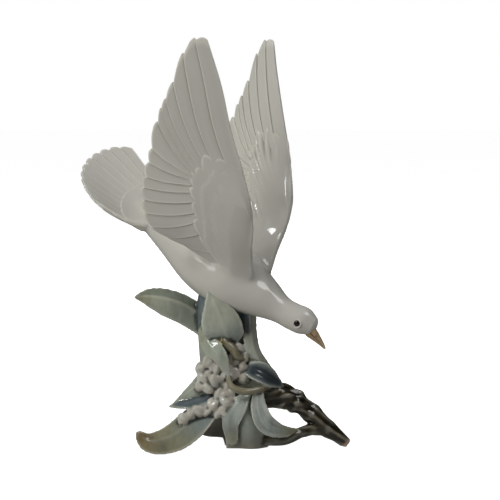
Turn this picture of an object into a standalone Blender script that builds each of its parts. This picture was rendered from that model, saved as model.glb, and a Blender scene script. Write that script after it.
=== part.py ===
"""Glazed porcelain dove on a leafy stump: the bird has just come down, head low, wings raised and tail fanned.

The figure is one fired casting, so every form below is united into the one object dove_statue.
Axes: +X to the bird's head end, +Y away from the viewer, +Z up. The origin is under the middle, on the ground.
"""

import math

import bpy
import numpy as np

# Overall size, in metres. The pose and carving are drawn in millimetres of a figure 300 mm tall.
STATUE_HEIGHT = 0.300
DRAWN_HEIGHT = 300.0
MM = STATUE_HEIGHT / DRAWN_HEIGHT

# Sizes that can be set by themselves, in millimetres.
FEATHER_WALL = 2.4
FEATHER_STEP = 0.9
COVERT_STEP = 1.0
TAIL_WALL = 2.4
LEAF_WALL = 2.2
BEAK_LENGTH = 14.5
BEAK_RADIUS = 3.9
EYE_RADIUS = 2.3
BUD_RADIUS = 4.2
BRANCH_RADIUS = 8.0
TWIG_RADIUS = 2.4
ARCH_HEIGHT = 6.5
ARCH_WIDTH = 26.0
ARCH_MIDDLE = -6.5
FOOT_CUT = 20.0

# How the bird stands: its heading turns towards the viewer, and its wings open like a book.
HEADING = math.radians(25.0)
WING_TWIST = math.radians(13.4)
WING_FEATHERS = 16
TAIL_FEATHERS = 11
AHEAD = np.array([math.cos(HEADING), -math.sin(HEADING), 0.0])
LEFT = np.array([math.sin(HEADING), math.cos(HEADING), 0.0])
UP = np.array([0.0, 0.0, 1.0])

# The body's middle line from rump to face: ahead, up, half width, half depth.
BODY_LINE = np.array([
    [-66.0, 179.0, 9.0, 2.6],
    [-58.0, 171.5, 12.0, 7.0],
    [-47.0, 161.5, 14.5, 12.0],
    [-30.2, 149.3, 18.0, 16.6],
    [-8.2, 133.6, 22.5, 22.0],
    [14.4, 121.3, 24.0, 22.5],
    [35.1, 110.6, 17.5, 15.6],
    [50.1, 102.3, 10.8, 10.2],
    [60.0, 97.6, 9.6, 9.8],
    [68.5, 94.6, 8.9, 9.9],
    [75.4, 91.2, 5.6, 7.0],
])
BEAK_ROOT = np.array([73.5, 88.8])
BEAK_AIM = math.radians(-47.0)
EYE_PLACE = np.array([67.0, 94.1])

# Wing outline, in millimetres from the wing's reference line: ahead of it, and up from the ground.
WING_LINE = 36.8
WING_SWEEP = {-1: 0.0, 1: 5.0}
ARM = [(7.6, 171.0), (5.6, 158.0), (1.2, 142.0), (-1.5, 126.0), (-8.0, 105.0)]
COVERT_EDGE = [
    (4.1, 204.6), (-18.0, 213.7), (-26.0, 205.5), (-30.5, 201.5), (-32.5, 197.0),
    (-33.8, 187.9), (-33.7, 173.3), (-34.0, 158.0), (-23.0, 130.0),
]
# The notches between the feather ends, from the wing's tip round to the back.
NOTCHES = [
    (-15.0, 292.5), (-22.5, 293.5), (-30.0, 281.5), (-38.5, 262.5), (-46.0, 252.0), (-50.0, 245.5),
    (-53.0, 235.5), (-58.5, 217.5), (-61.5, 208.0), (-65.5, 198.5), (-68.0, 191.0), (-68.5, 182.0),
    (-69.0, 172.5), (-66.0, 162.5), (-57.0, 155.0), (-46.0, 148.5), (-29.0, 134.0),
]
WING_SPREAD = np.array([
    [90.0, 5.0], [104.0, 8.5], [118.0, 12.0], [128.0, 15.5], [138.0, 20.0], [150.0, 26.5],
    [170.0, 34.8], [200.0, 42.8], [240.0, 50.0], [300.0, 58.0],
])

# The tail's fan: its root on the body's middle line, its reach and half spread.
TAIL_ROOT = np.array([-53.0, 167.0])
TAIL_PITCH = math.radians(42.0)
TAIL_ROLL = math.radians(27.0)
TAIL_TURN = math.radians(17.0)
TAIL_REACH = 61.0
TAIL_SPREAD = math.radians(43.0)
TAIL_BASE = 16.5
TAIL_CUP = 0.0050

# The stump: height, middle to the side, middle in depth, half width, half depth.
STUMP = np.array([
    [-FOOT_CUT, 9.0, 10.0, 23.0, 20.0],
    [0.0, 9.0, 10.0, 23.0, 20.0],
    [12.0, 9.0, 6.0, 21.5, 20.0],
    [28.0, 11.0, 2.0, 21.5, 19.5],
    [40.0, 15.0, 0.0, 27.0, 19.0],
    [47.0, 16.0, 0.0, 28.0, 18.5],
    [56.0, 12.5, 0.0, 24.5, 18.0],
    [68.0, 8.0, -1.0, 20.5, 17.0],
    [84.0, 6.0, -2.0, 19.5, 16.5],
    [102.0, 5.0, -3.0, 19.5, 15.5],
    [118.0, 2.0, -3.0, 14.0, 12.0],
])


def through(x, knots, values):
    """A smooth cubic through the values at the knots, read at x."""
    knots = np.asarray(knots, float)
    values = np.asarray(values, float)
    slopes = np.gradient(values, knots, axis=0)
    i = np.clip(np.searchsorted(knots, x, side="right") - 1, 0, len(knots) - 2)
    span = knots[i + 1] - knots[i]
    t = (x - knots[i]) / span
    if values.ndim > 1:
        t, span = t[..., None], span[..., None]
    return (
        values[i] * (1 + 2 * t) * (1 - t) ** 2
        + values[i + 1] * t * t * (3 - 2 * t)
        + slopes[i] * span * t * (1 - t) ** 2
        - slopes[i + 1] * span * t * t * (1 - t)
    )


def along(points, t):
    """A smooth curve through evenly timed points, read at t from 0 to 1."""
    return through(np.asarray(t, float), np.linspace(0, 1, len(points)), points)


def ease(x, low, high):
    """0 below low, 1 above high, and a smooth rise between."""
    t = np.clip((x - low) / (high - low), 0, 1)
    return t * t * (3 - 2 * t)


def unit(v):
    return v / np.linalg.norm(v, axis=-1, keepdims=True)


def grid_faces(rows, columns, start, wrap=False):
    """Quads of a grid of points numbered row by row, its last column joined to its first where it wraps."""
    i = np.arange(rows - 1)[:, None] * columns
    j = np.arange(columns if wrap else columns - 1)[None, :]
    k = (j + 1) % columns
    quads = np.stack(np.broadcast_arrays(i + j, i + k, i + columns + k, i + columns + j), -1)
    return quads.reshape(-1, 4) + start


def skin(rings):
    """A closed skin over rings of points, each end closed by a fan to its middle."""
    count, around = rings.shape[:2]
    points = np.concatenate([rings.reshape(-1, 3), rings[[0, -1]].mean(axis=1)])
    faces = grid_faces(count, around, 0, wrap=True).tolist()
    for ring, tip in ((0, count * around), (count - 1, count * around + 1)):
        for j in range(around):
            pair = [ring * around + (j + 1) % around, ring * around + j]
            faces.append((pair if ring == 0 else pair[::-1]) + [tip])
    return points, faces


def sheet(place, p, q, front, back):
    """A closed plate: the surface place(p, q), thickened along its normal by front on one side and back on the other."""
    step = 0.1
    across = place(p + step, q) - place(p - step, q)
    upward = place(p, q + step) - place(p, q - step)
    normal = unit(np.cross(across, upward))
    middle = place(p, q)
    rows, columns = p.shape
    count = rows * columns
    points = np.concatenate([
        (middle + normal * front[..., None]).reshape(-1, 3),
        (middle - normal * back[..., None]).reshape(-1, 3),
    ])
    faces = grid_faces(rows, columns, 0).tolist()
    faces += grid_faces(rows, columns, count)[:, ::-1].tolist()
    index = np.arange(count).reshape(rows, columns)
    rim = np.concatenate([index[0, :-1], index[:-1, -1], index[-1, :0:-1], index[:0:-1, 0]])
    for a, b in zip(rim, np.roll(rim, -1)):
        faces.append([int(b), int(a), int(a + count), int(b + count)])
    return points, faces


def body():
    """The bird from rump to face: rounded sections across a bent middle line."""
    t = np.linspace(0, 1, 21)
    line = along(BODY_LINE, t)
    run = unit(np.gradient(line[:, :2], axis=0))
    centre = line[:, :1] * AHEAD + line[:, 1:2] * UP
    lift = -run[:, 1:] * AHEAD + run[:, :1] * UP
    turn = np.linspace(0, 2 * math.pi, 16, endpoint=False)
    roundness = 0.94
    side = np.sign(np.cos(turn)) * np.abs(np.cos(turn)) ** roundness
    rise = np.sign(np.sin(turn)) * np.abs(np.sin(turn)) ** roundness
    # Near the tail the section turns with the fan.
    roll = TAIL_ROLL * (1 - ease(line[:, 0], -62.0, -36.0))
    side_axis = np.cos(roll)[:, None] * LEFT + np.sin(roll)[:, None] * lift
    rise_axis = np.cos(roll)[:, None] * lift - np.sin(roll)[:, None] * LEFT
    rings = (
        centre[:, None]
        + side_axis[:, None] * (line[:, 2, None, None] * side[None, :, None])
        + rise_axis[:, None] * (line[:, 3, None, None] * rise[None, :, None])
    )
    return skin(rings)


def beak():
    """A short tapering bill that bends down a little at its point."""
    t = np.linspace(0, 1, 7)
    bend = BEAK_AIM - 0.16 * t
    step = BEAK_LENGTH * 1.15 / (len(t) - 1)
    reach = np.cumsum(np.cos(bend)) * step
    drop = np.cumsum(np.sin(bend)) * step
    ahead = BEAK_ROOT[0] - 3.0 + reach
    height = BEAK_ROOT[1] + 2.4 + drop
    centre = ahead[:, None] * AHEAD + height[:, None] * UP
    lift = -np.sin(bend)[:, None] * AHEAD + np.cos(bend)[:, None] * UP
    radius = BEAK_RADIUS * (1 - 0.88 * t ** 1.25)
    turn = np.linspace(0, 2 * math.pi, 10, endpoint=False)
    rings = (
        centre[:, None]
        + LEFT * (0.82 * radius[:, None] * np.cos(turn))[..., None]
        + lift[:, None] * (radius[:, None] * np.sin(turn))[..., None]
    )
    return skin(rings)


def ball(centre, radii, axes, around=10, bands=5):
    """An ellipsoid with its radii along three axes."""
    lat = np.linspace(0, math.pi, bands + 2)[1:-1]
    turn = np.linspace(0, 2 * math.pi, around, endpoint=False)
    unit_points = np.stack(np.broadcast_arrays(
        np.sin(lat)[:, None] * np.cos(turn), np.sin(lat)[:, None] * np.sin(turn), np.cos(lat)[:, None],
    ), -1)
    points, faces = skin(unit_points)
    poles = points[-2:]
    poles[0], poles[1] = (0, 0, 1), (0, 0, -1)
    return (points * radii) @ np.asarray(axes) + centre, faces


def wing_surface(side):
    """The wing's middle surface: it leans out from the shoulder, and its rear edge opens away from the body."""

    def place(p, q):
        spread = through(q, WING_SPREAD[:, 0], WING_SPREAD[:, 1])
        opened = ease(q, 122.0, 166.0)
        out = spread - p * math.sin(WING_TWIST) * opened
        forward = WING_LINE + p * math.cos(WING_TWIST)
        return forward[..., None] * AHEAD + side * out[..., None] * LEFT + q[..., None] * UP

    return place


def feather_ends(number, share):
    """Where the rays end: on the line from notch to notch, and how far each round feather end stands past it."""
    notches = np.asarray(NOTCHES, float)
    chord = notches[number + 1] - notches[number]
    bulge = 2.02 * share ** 0.3 * (1 - share) * (0.9 + 0.17 * np.hypot(chord[:, 0], chord[:, 1]))
    return notches[number] + chord * share[:, None], bulge


def wing(side, per_feather=(0.0, 0.16, 0.58), v=(0.0, 0.06, 0.18, 0.34, 0.395, 0.445, 0.75, 1.0)):
    """One wing: rays fan out from the arm past the covert edge to round feather ends, each feather tilted on the next."""
    count = WING_FEATHERS
    share = np.append(np.tile(per_feather, count), 0.999)
    number = np.append(np.repeat(np.arange(count), len(per_feather)), count - 1)
    u = (number + share) / count
    v = np.asarray(v)
    arm, covert = along(ARM, u)[:, None], along(COVERT_EDGE, u)[:, None]
    ends, bulge = feather_ends(number, share)
    split = 0.42
    # Each ray runs a little past its notch line, along its own curve, to make the round end of its feather.
    reach = np.linalg.norm(ends[:, None] - covert, axis=-1) / (1 - split)
    w = v[None, :] + bulge[:, None] / reach * ease(v, 0.5, 1.0)[None, :] * (1 - ease(u, 0.93, 1.0))[:, None]
    a = (w - split) * (w - 1) / split
    b = w * (w - 1) / (split * (split - 1))
    c = w * (w - split) / (1 - split)
    ray = arm * a[..., None] + covert * b[..., None] + ends[:, None] * c[..., None]
    p, q = ray[..., 0], ray[..., 1]
    p = p - WING_SWEEP[side] * ease(q, 160.0, 300.0) * np.clip((p + 48.0) / 36.0, 0, 1)

    vane = ease(v, split - 0.03, split + 0.03)[None, :]
    slope = (share - 0.5)[:, None] * FEATHER_STEP * vane * ease(u, 0.0, 0.03)[:, None]
    root = 1 - ease(q, 112.0, 176.0)
    arm_flesh = (1 - ease(v, 0.0, split))[None, :] * (1 - 0.55 * ease(u, 0.0, 0.5))[:, None]
    depth = 6.0 * root * (1 - ease(v, 0.25, 0.75))[None, :] * (1 - 0.7 * ease(u, 0.85, 1.0))[:, None] + 3.2 * arm_flesh
    lead = np.clip(v / 0.13, 0.12, 1)[None, :] ** 0.5 * np.clip(u / 0.035, 0.30, 1)[:, None] ** 0.5
    half = (0.5 * FEATHER_WALL + COVERT_STEP * (1 - vane) + depth) * lead
    half = np.maximum(half * (1 - 0.25 * ease(v, 0.8, 1.0))[None, :], 0.3 * FEATHER_WALL)
    under, top = half + slope, half - slope
    return sheet(wing_surface(side), p, q, *((under, top) if side < 0 else (top, under)))


def tail_surface():
    """The fan's middle surface: a shallow cup, rolled towards the viewer about the tail's own line."""
    back = -math.cos(TAIL_PITCH) * AHEAD + math.sin(TAIL_PITCH) * UP
    lift = math.sin(TAIL_PITCH) * AHEAD + math.cos(TAIL_PITCH) * UP
    across = -math.cos(TAIL_ROLL) * LEFT - math.sin(TAIL_ROLL) * lift
    upper = math.cos(TAIL_ROLL) * lift - math.sin(TAIL_ROLL) * LEFT
    root = TAIL_ROOT[0] * AHEAD + TAIL_ROOT[1] * UP

    def place(p, q):
        cup = TAIL_CUP * p * p
        return root + p[..., None] * across + q[..., None] * back + cup[..., None] * upper

    return place


def tail(per_feather=(0.0, 0.25, 0.65), v=(0.0, 0.36, 0.46, 0.72, 1.0)):
    """The tail: feathers fanned from the rump, with round ends, each tilted on the next."""
    share = np.append(np.tile(per_feather, TAIL_FEATHERS), 0.999)
    number = np.append(np.repeat(np.arange(TAIL_FEATHERS), len(per_feather)), TAIL_FEATHERS - 1)
    v = np.asarray(v)
    x = 2 * (number + share) / TAIL_FEATHERS - 1
    angle = TAIL_TURN + TAIL_SPREAD * x
    bulge = (4 * share * (1 - share)) ** 0.5 * (1 - 0.8 * x ** 6)
    reach = TAIL_REACH * (1 - 0.16 * x ** 2 - 0.16 * x)
    base_p, base_q = TAIL_BASE * x, -6.0 - 2.0 * x
    w = v[None, :] * (0.96 + 0.06 * bulge[:, None] * v[None, :])
    p = base_p[:, None] + (reach * np.sin(angle) - base_p)[:, None] * w * (1.4 - 0.4 * w)
    q = base_q[:, None] + (reach * np.cos(angle) - base_q)[:, None] * w
    vane = ease(v, 0.38, 0.48)[None, :]
    slope = (share - 0.5)[:, None] * 0.8 * FEATHER_STEP * vane
    half = 0.5 * TAIL_WALL + 1.2 * (1 - vane) + 3.0 * (1 - ease(v, 0.0, 0.45))[None, :]
    rim = np.clip((1 - np.abs(x)) / 0.12, 0.3, 1)[:, None] ** 0.5
    half = half * rim * (1 - 0.3 * ease(v, 0.8, 1.0))[None, :]
    return sheet(tail_surface(), p, q, half + slope, half - slope)


def leaf(spine, half_width, facing, cup=0.25, fold=0.0, blunt=0.75, early=0.85, long=7, wide=4):
    """A leaf: a plate along its midrib, cupped across and creased along it.

    spine is the midrib from stalk to tip and facing the way that the upper side looks. blunt below 1
    rounds the ends, and early below 1 moves the widest place towards the stalk.
    """
    spine = np.asarray(spine, float)
    facing = unit(np.asarray(facing, float))
    length = np.linalg.norm(np.diff(spine, axis=0), axis=1).sum()

    def place(p, q):
        t = q / length
        run = unit(along(spine, t + 0.01) - along(spine, t - 0.01))
        across = unit(np.cross(run, facing))
        bow = -cup * p * p / half_width - fold * np.sqrt(p * p + 0.25)
        return along(spine, t) + across * p[..., None] + np.cross(across, run) * bow[..., None]

    t = 0.5 - 0.5 * np.cos(math.pi * np.linspace(0, 1, long))
    width = half_width * np.sin(math.pi * np.clip(t, 0.02, 0.985) ** early) ** blunt
    s = np.linspace(-1, 1, wide + 1)
    p = width[:, None] * s[None, :]
    q = np.repeat(t[:, None] * length, len(s), axis=1)
    half = 0.5 * LEAF_WALL * (1 - 0.45 * np.abs(s[None, :]) ** 3) * (1 - 0.3 * t[:, None])
    return sheet(place, p, q, half, half)


def tube(points, radii, flat=1.0, around=8, count=12):
    """A round or flattened bar along a smooth curve, its radius following the radii."""
    t = np.linspace(0, 1, count)
    line = along(points, t)
    radius = through(t, np.linspace(0, 1, len(radii)), radii)
    run = unit(np.gradient(line, axis=0))
    level = unit(np.cross(run, np.array([0.15, 1.0, 0.1])))
    depth = np.cross(run, level)
    turn = np.linspace(0, 2 * math.pi, around, endpoint=False)
    rings = line[:, None] + radius[:, None, None] * (
        level[:, None] * np.cos(turn)[None, :, None] + flat * depth[:, None] * np.sin(turn)[None, :, None]
    )
    return skin(rings)


def stump(rows=14, around=18):
    """The stump: sections that swell towards the ground, with shallow root folds round them."""
    heights = np.linspace(STUMP[0, 0], STUMP[-1, 0], rows)
    line = through(heights, STUMP[:, 0], STUMP[:, 1:])
    turn = np.linspace(0, 2 * math.pi, around, endpoint=False)
    folds = 1 + 0.05 * np.sin(5 * turn + 0.6)[None, :] * (1 - ease(heights, 20.0, 90.0))[:, None]
    rings = np.stack(np.broadcast_arrays(
        line[:, 0, None] + line[:, 2, None] * folds * np.cos(turn),
        line[:, 1, None] + line[:, 3, None] * folds * np.sin(turn),
        heights[:, None],
    ), -1)
    return skin(rings)


# Leaves: midrib from stalk to tip, half width, the way the upper side faces, and the shape of the blade.
LEAVES = {
    "leaf_left": dict(spine=[(-8, -2, 93), (-20, -4, 102), (-38, -6, 108.5), (-60, -8, 110)], half_width=11.5,
                      facing=(0.15, -0.9, 0.45), fold=0.35, cup=0.1),
    "leaf_belly": dict(spine=[(9, -17, 77), (5, -23, 87), (-1, -24, 101), (-6, -20, 117)], half_width=12.6,
                       facing=(-0.05, -1.0, 0.1), cup=0.30, blunt=0.6),
    "leaf_hanging": dict(spine=[(-14, -12, 88), (-6, -19, 76), (2, -23, 66), (8, -25, 53)], half_width=7.0,
                         facing=(-0.25, -1.0, 0.2), cup=0.3),
    "leaf_tall": dict(spine=[(21, -12, 97), (23, -15, 79), (28, -16, 65), (46, -12, 46)], half_width=7.5,
                      facing=(0.5, -0.85, 0.15), cup=0.3),
    "leaf_dark": dict(spine=[(22, -17, 62), (30, -19, 56), (39, -17, 50), (47, -12, 45)], half_width=6.5,
                      facing=(0.1, -0.9, 0.5), cup=0.45),
    "leaf_foot_left": dict(spine=[(-2, -12, 33), (-20, -24, 20), (-37, -30, 9), (-57, -33, 14)], half_width=15.0,
                           facing=(-0.2, -0.75, 0.66), cup=0.3, early=0.75),
    "leaf_foot_front": dict(spine=[(20, -15, 43), (17, -22, 30), (15, -22, 14), (14, -12, -12)], half_width=15.0,
                            facing=(-0.1, -1.0, 0.3), cup=0.3, blunt=0.35),
    "leaf_foot_right": dict(spine=[(31, -22, 47), (30.5, -25, 32), (36, -25, 18), (59, -16, 12)], half_width=7.2,
                            facing=(0.3, -0.9, 0.45), cup=-0.25),
    "leaf_small_left": dict(spine=[(-6, -12, 36), (-14, -16, 35), (-24, -15, 33), (-34, -13, 30)], half_width=6.0,
                            facing=(-0.2, -0.5, 0.9), cup=0.25),
    "leaf_back": dict(spine=[(2, 10, 74), (-5, 19, 54), (-12, 25, 30), (-21, 32, -8)], half_width=14.0,
                      facing=(-0.2, 1.0, 0.3), cup=0.3),
    "leaf_back_right": dict(spine=[(18, 10, 62), (25, 18, 44), (27, 25, 22), (30, 33, -8)], half_width=13.0,
                            facing=(0.4, 1.0, 0.3), cup=0.3),
}

# Blossom buds: middle, and size against the common radius.
BUDS = [
    ((-6, -18, 64), 1.0), ((-1, -19, 59), 1.1), ((-10, -15, 58), 1.15), ((-9, -16, 51), 1.1),
    ((-1, -19, 50), 1.2), ((15, -17, 73), 0.9), ((13, -17, 66), 1.25), ((17, -17, 59), 1.1),
    ((12, -19, 55), 1.1), ((-24, -24, 23), 0.9), ((-19, -23, 26), 0.95), ((-14, -22, 28), 1.0),
    ((-8, -20, 29), 1.1), ((-2, -20, 33), 1.1), ((3, -20, 40), 1.15), ((7, -22, 35), 1.2),
    ((12, -22, 34), 1.0), ((5, -22, 28), 1.0),
]


def floor_block(low, high):
    """A box between two corners."""
    (x0, y0, z0), (x1, y1, z1) = low, high
    points = np.array([(x, y, z) for z in (z0, z1) for x, y in ((x0, y0), (x1, y0), (x1, y1), (x0, y1))], float)
    faces = [[3, 2, 1, 0], [4, 5, 6, 7], [0, 1, 5, 4], [1, 2, 6, 5], [2, 3, 7, 6], [3, 0, 4, 7]]
    return points, faces


def bird_forms():
    yield "body", body()
    yield "beak", beak()
    for name, side in (("wing_right", -1), ("wing_left", 1)):
        yield name, wing(side)
    yield "tail", tail()
    for name, side in (("eye_right", -1), ("eye_left", 1)):
        middle = EYE_PLACE[0] * AHEAD + EYE_PLACE[1] * UP + side * 7.9 * LEFT
        yield name, ball(middle, (EYE_RADIUS, EYE_RADIUS, 0.6 * EYE_RADIUS), (AHEAD, UP, LEFT))


def base_forms():
    yield "stump", stump()
    for name, shape in LEAVES.items():
        yield name, leaf(**shape)
    for number, (middle, size) in enumerate(BUDS, 1):
        radius = BUD_RADIUS * size
        lean = unit(np.array([math.cos(number), 0.3, math.sin(2.0 * number)]))
        side = unit(np.cross(lean, LEFT))
        yield f"bud_{number:02d}", ball(
            np.array(middle, float), (radius, 0.85 * radius, 1.15 * radius), (side, np.cross(lean, side), lean),
            around=7, bands=3,
        )
    branch = [
        (20, -8, 38), (40, -10, 36.8), (50, -10, 36), (59.5, -10, 31.5), (69.5, -10, 24), (81, -10, 12.5), (95, -10, 1.5),
    ]
    r = BRANCH_RADIUS
    yield "branch", tube(branch, r * np.array([1.0, 1.1, 1.12, 0.9, 0.82, 0.72, 0.45]), count=14, around=10)
    fork = [(86, -10, 10), (72, -12, 13), (61, -14, 11), (48, -17, 7.5), (24, -12, 7)]
    yield "branch_fork", tube(fork, [0.5 * r, 0.6 * r, 0.5 * r, 0.65 * r, 0.8 * r])
    w = TWIG_RADIUS
    low = [(8, -24, 54), (11, -28, 47), (20, -30, 44), (29, -27, 44.5), (38, -20, 46)]
    yield "twig_low", tube(low, [0.8 * w, w, 1.1 * w, w, w], around=6)
    high = [(3, -21, 80), (11, -22, 74), (15, -22, 68), (23, -17, 65)]
    yield "twig_high", tube(high, [w, 1.3 * w, 1.1 * w, 0.8 * w], count=8, around=6)


def cutters():
    yield "ground_cut", floor_block((-200, -200, -80), (200, 200, 0))
    arch, faces = floor_block((ARCH_MIDDLE - 0.5 * ARCH_WIDTH, -80, -1), (ARCH_MIDDLE + 0.5 * ARCH_WIDTH, 80, ARCH_HEIGHT))
    arch[4:, 0] = ARCH_MIDDLE + (arch[4:, 0] - ARCH_MIDDLE) * 0.8
    yield "arch_cut", (arch, faces)


def material(name, colour, roughness):
    made = bpy.data.materials.new(name)
    made.use_nodes = True
    shader = made.node_tree.nodes["Principled BSDF"]
    shader.inputs["Base Color"].default_value = (*colour, 1.0)
    shader.inputs["Roughness"].default_value = roughness
    shader.inputs["Metallic"].default_value = 0.0
    made.diffuse_color = (*colour, 1.0)
    return made


def make_object(name, points, faces, middle, finish, collection, helper=True):
    """A mesh object from points in drawn millimetres from the middle, with its faces turned outwards."""
    corners = [[face[0], face[i], face[i + 1]] for face in faces for i in range(1, len(face) - 1)]
    triangles = points[np.array(corners)]
    if np.linalg.det(triangles).sum() < 0:
        faces = [list(face)[::-1] for face in faces]
    mesh = bpy.data.meshes.new(name)
    mesh.from_pydata(((points - middle) * MM).tolist(), [], [list(map(int, face)) for face in faces])
    mesh.materials.append(finish)
    mesh.shade_smooth()
    made = bpy.data.objects.new(name, mesh)
    collection.objects.link(made)
    if helper:
        made.hide_render = True
        made.display_type = "WIRE"
    return made


def main():
    for old in list(bpy.data.objects):
        bpy.data.objects.remove(old)
    white = material("white_glaze", (0.62, 0.61, 0.57), 0.12)
    green = material("green_glaze", (0.30, 0.34, 0.30), 0.12)
    brown = material("brown_glaze", (0.10, 0.08, 0.04), 0.12)
    horn = material("matt_horn", (0.32, 0.22, 0.15), 0.45)
    scene = bpy.context.scene
    joined = bpy.data.collections.new("joined_forms")
    cut = bpy.data.collections.new("cutters")
    scene.collection.children.link(joined)
    scene.collection.children.link(cut)

    forms = dict(bird_forms()) | dict(base_forms())
    # The figure stands with the middle of its outline over the origin.
    drawn = np.concatenate([points[points[:, 2] > 0] for points, faces in forms.values()])
    middle = 0.5 * (drawn.min(axis=0) + drawn.max(axis=0)) * (1, 1, 0)
    finishes = {"beak": horn, "eye": horn, "bud": white, "branch": brown, "twig": brown, "leaf": green, "stump": green}
    statue = make_object("dove_statue", *forms.pop("body"), middle, white, scene.collection, helper=False)
    for name, form in forms.items():
        make_object(name, *form, middle, finishes.get(name.split("_")[0], white), joined)
    for name, form in cutters():
        make_object(name, *form, middle, green, cut)

    unite = statue.modifiers.new("unite_forms", "BOOLEAN")
    unite.operation = "UNION"
    unite.operand_type = "COLLECTION"
    unite.collection = joined
    unite.solver = "MANIFOLD"
    trim = statue.modifiers.new("trim_foot", "BOOLEAN")
    trim.operation = "DIFFERENCE"
    trim.operand_type = "COLLECTION"
    trim.collection = cut
    trim.solver = "MANIFOLD"


main()
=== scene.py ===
"""The look of the glazed porcelain dove: a white bird with raised wings on a stump of leaves, blossom and a branch.

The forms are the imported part's own forms, drawn again on fine grids with their relief: feather steps and lips,
scalloped coverts, leaf ribs and veins, ribbed buds and bark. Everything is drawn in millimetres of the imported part's
drawing, and plain_mesh then moves it by MIDDLE and scales it to metres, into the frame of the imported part.
"""

import math

import bpy
import numpy as np
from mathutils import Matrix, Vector


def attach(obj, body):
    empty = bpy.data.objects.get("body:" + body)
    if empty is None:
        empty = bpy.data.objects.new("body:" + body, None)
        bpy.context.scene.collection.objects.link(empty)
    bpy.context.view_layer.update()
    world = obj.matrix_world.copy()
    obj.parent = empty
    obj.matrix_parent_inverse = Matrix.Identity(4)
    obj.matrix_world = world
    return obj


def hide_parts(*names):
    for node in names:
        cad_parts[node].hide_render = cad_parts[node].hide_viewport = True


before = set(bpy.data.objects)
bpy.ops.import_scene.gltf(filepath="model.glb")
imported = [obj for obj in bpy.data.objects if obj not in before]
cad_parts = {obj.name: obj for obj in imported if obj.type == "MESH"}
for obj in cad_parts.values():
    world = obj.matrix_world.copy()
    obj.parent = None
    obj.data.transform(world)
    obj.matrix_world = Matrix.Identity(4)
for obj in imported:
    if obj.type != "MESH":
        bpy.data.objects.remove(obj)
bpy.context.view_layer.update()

# The middle of the drawn outline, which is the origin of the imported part, and a drawn millimetre in metres.
MIDDLE = np.array([-1.5884, -0.1026, 0.0])
MM = 0.001

# The figure's own directions: where the bird is heading, its left side, and up.
HEADING = math.radians(25.0)
AHEAD = np.array([math.cos(HEADING), -math.sin(HEADING), 0.0])
LEFT = np.array([math.sin(HEADING), math.cos(HEADING), 0.0])
UP = np.array([0.0, 0.0, 1.0])

# The body's middle line from rump to face: ahead, up, half width, half depth. The face bulges on from its end.
BODY_LINE = np.array([
    [-66, 179, 9, 2.6],
    [-58, 171.5, 12, 7],
    [-47, 161.5, 14.5, 12],
    [-30.2, 149.3, 18, 16.6],
    [-8.2, 133.6, 22.5, 22],
    [14.4, 121.3, 24, 22.5],
    [35.1, 110.6, 17.5, 15.6],
    [50.1, 102.3, 10.8, 10.2],
    [60, 97.6, 9.6, 9.8],
    [68.5, 94.6, 8.9, 9.9],
    [75.4, 91.2, 5.6, 7],
])
FACE_BULGE = 3.1
# The bill: its root inside the face as ahead and up, the slope it leaves at, its length and its root's radius.
BEAK_ROOT = (70.3, 90.6)
BEAK_AIM = math.radians(-41.0)
BEAK_LENGTH = 21.0
BEAK_RADIUS = 4.5
# The eye's middle as ahead, up and out to its side, its radii along those three, and the rolled lid round it.
EYE_PLACE = (67.0, 94.1, 8.3)
EYE_RADII = (2.6, 2.5, 1.7)
LID_RADIUS = 2.95
LID_THICK = 0.60
LID_OUT = 0.35

# The wing, where a side is -1 for the right wing and 1 for the left. Its outlines are given from its reference line,
# as ahead of it and up from the ground, and SPLIT is where on a ray from arm to feather end the coverts end.
WING_LINE = 36.8
WING_TWIST = math.radians(13.4)
WING_SWEEP = {-1: 0.0, 1: 5.0}
WING_OUT = {-1: 1.0, 1: 0.984}
FEATHER_WALL = 2.4
COVERT_STEP = 0.42
SPLIT = 0.42
ARM = [(7.6, 171), (5.6, 158), (1.2, 142), (-1.5, 126), (-8, 105)]
COVERT_EDGE = [
    (4.1, 204.6), (-18, 213.7), (-26, 205.5), (-30.5, 201.5), (-32.5, 197),
    (-33.8, 187.9), (-33.7, 173.3), (-34, 158), (-23, 130),
]
NOTCHES = np.array([
    (-15, 292), (-23.5, 293), (-32.2, 282.5), (-40.3, 263), (-46.4, 252), (-50, 245.5),
    (-53, 235.5), (-58.5, 217.5), (-61.5, 208), (-65.5, 198.5), (-68, 191), (-68.5, 182),
    (-69, 172.5), (-66, 162.5), (-57, 155), (-46, 148.5), (-29, 134),
])
FEATHERS = len(NOTCHES) - 1
# Height up the wing, and how far out to its side the wing stands there.
WING_SPREAD = np.array([
    [90, 5], [104, 8.5], [118, 12], [128, 15.5], [138, 20], [150, 26.5],
    [170, 34.8], [200, 42.8], [240, 50], [300, 58],
])

# The tail's fan: its root as ahead and up, its pitch, roll and turn, and the shape of its feathers.
TAIL_ROOT = np.array([-53.0, 167.0])
TAIL_PITCH = math.radians(42.0)
TAIL_ROLL = math.radians(27.0)
TAIL_TURN = math.radians(17.0)
TAIL_REACH = 61.0
TAIL_SPREAD = math.radians(43.0)
TAIL_BASE = 16.5
TAIL_CUP = 0.0050
TAIL_WALL = 2.4
TAIL_FEATHERS = 11

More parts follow.
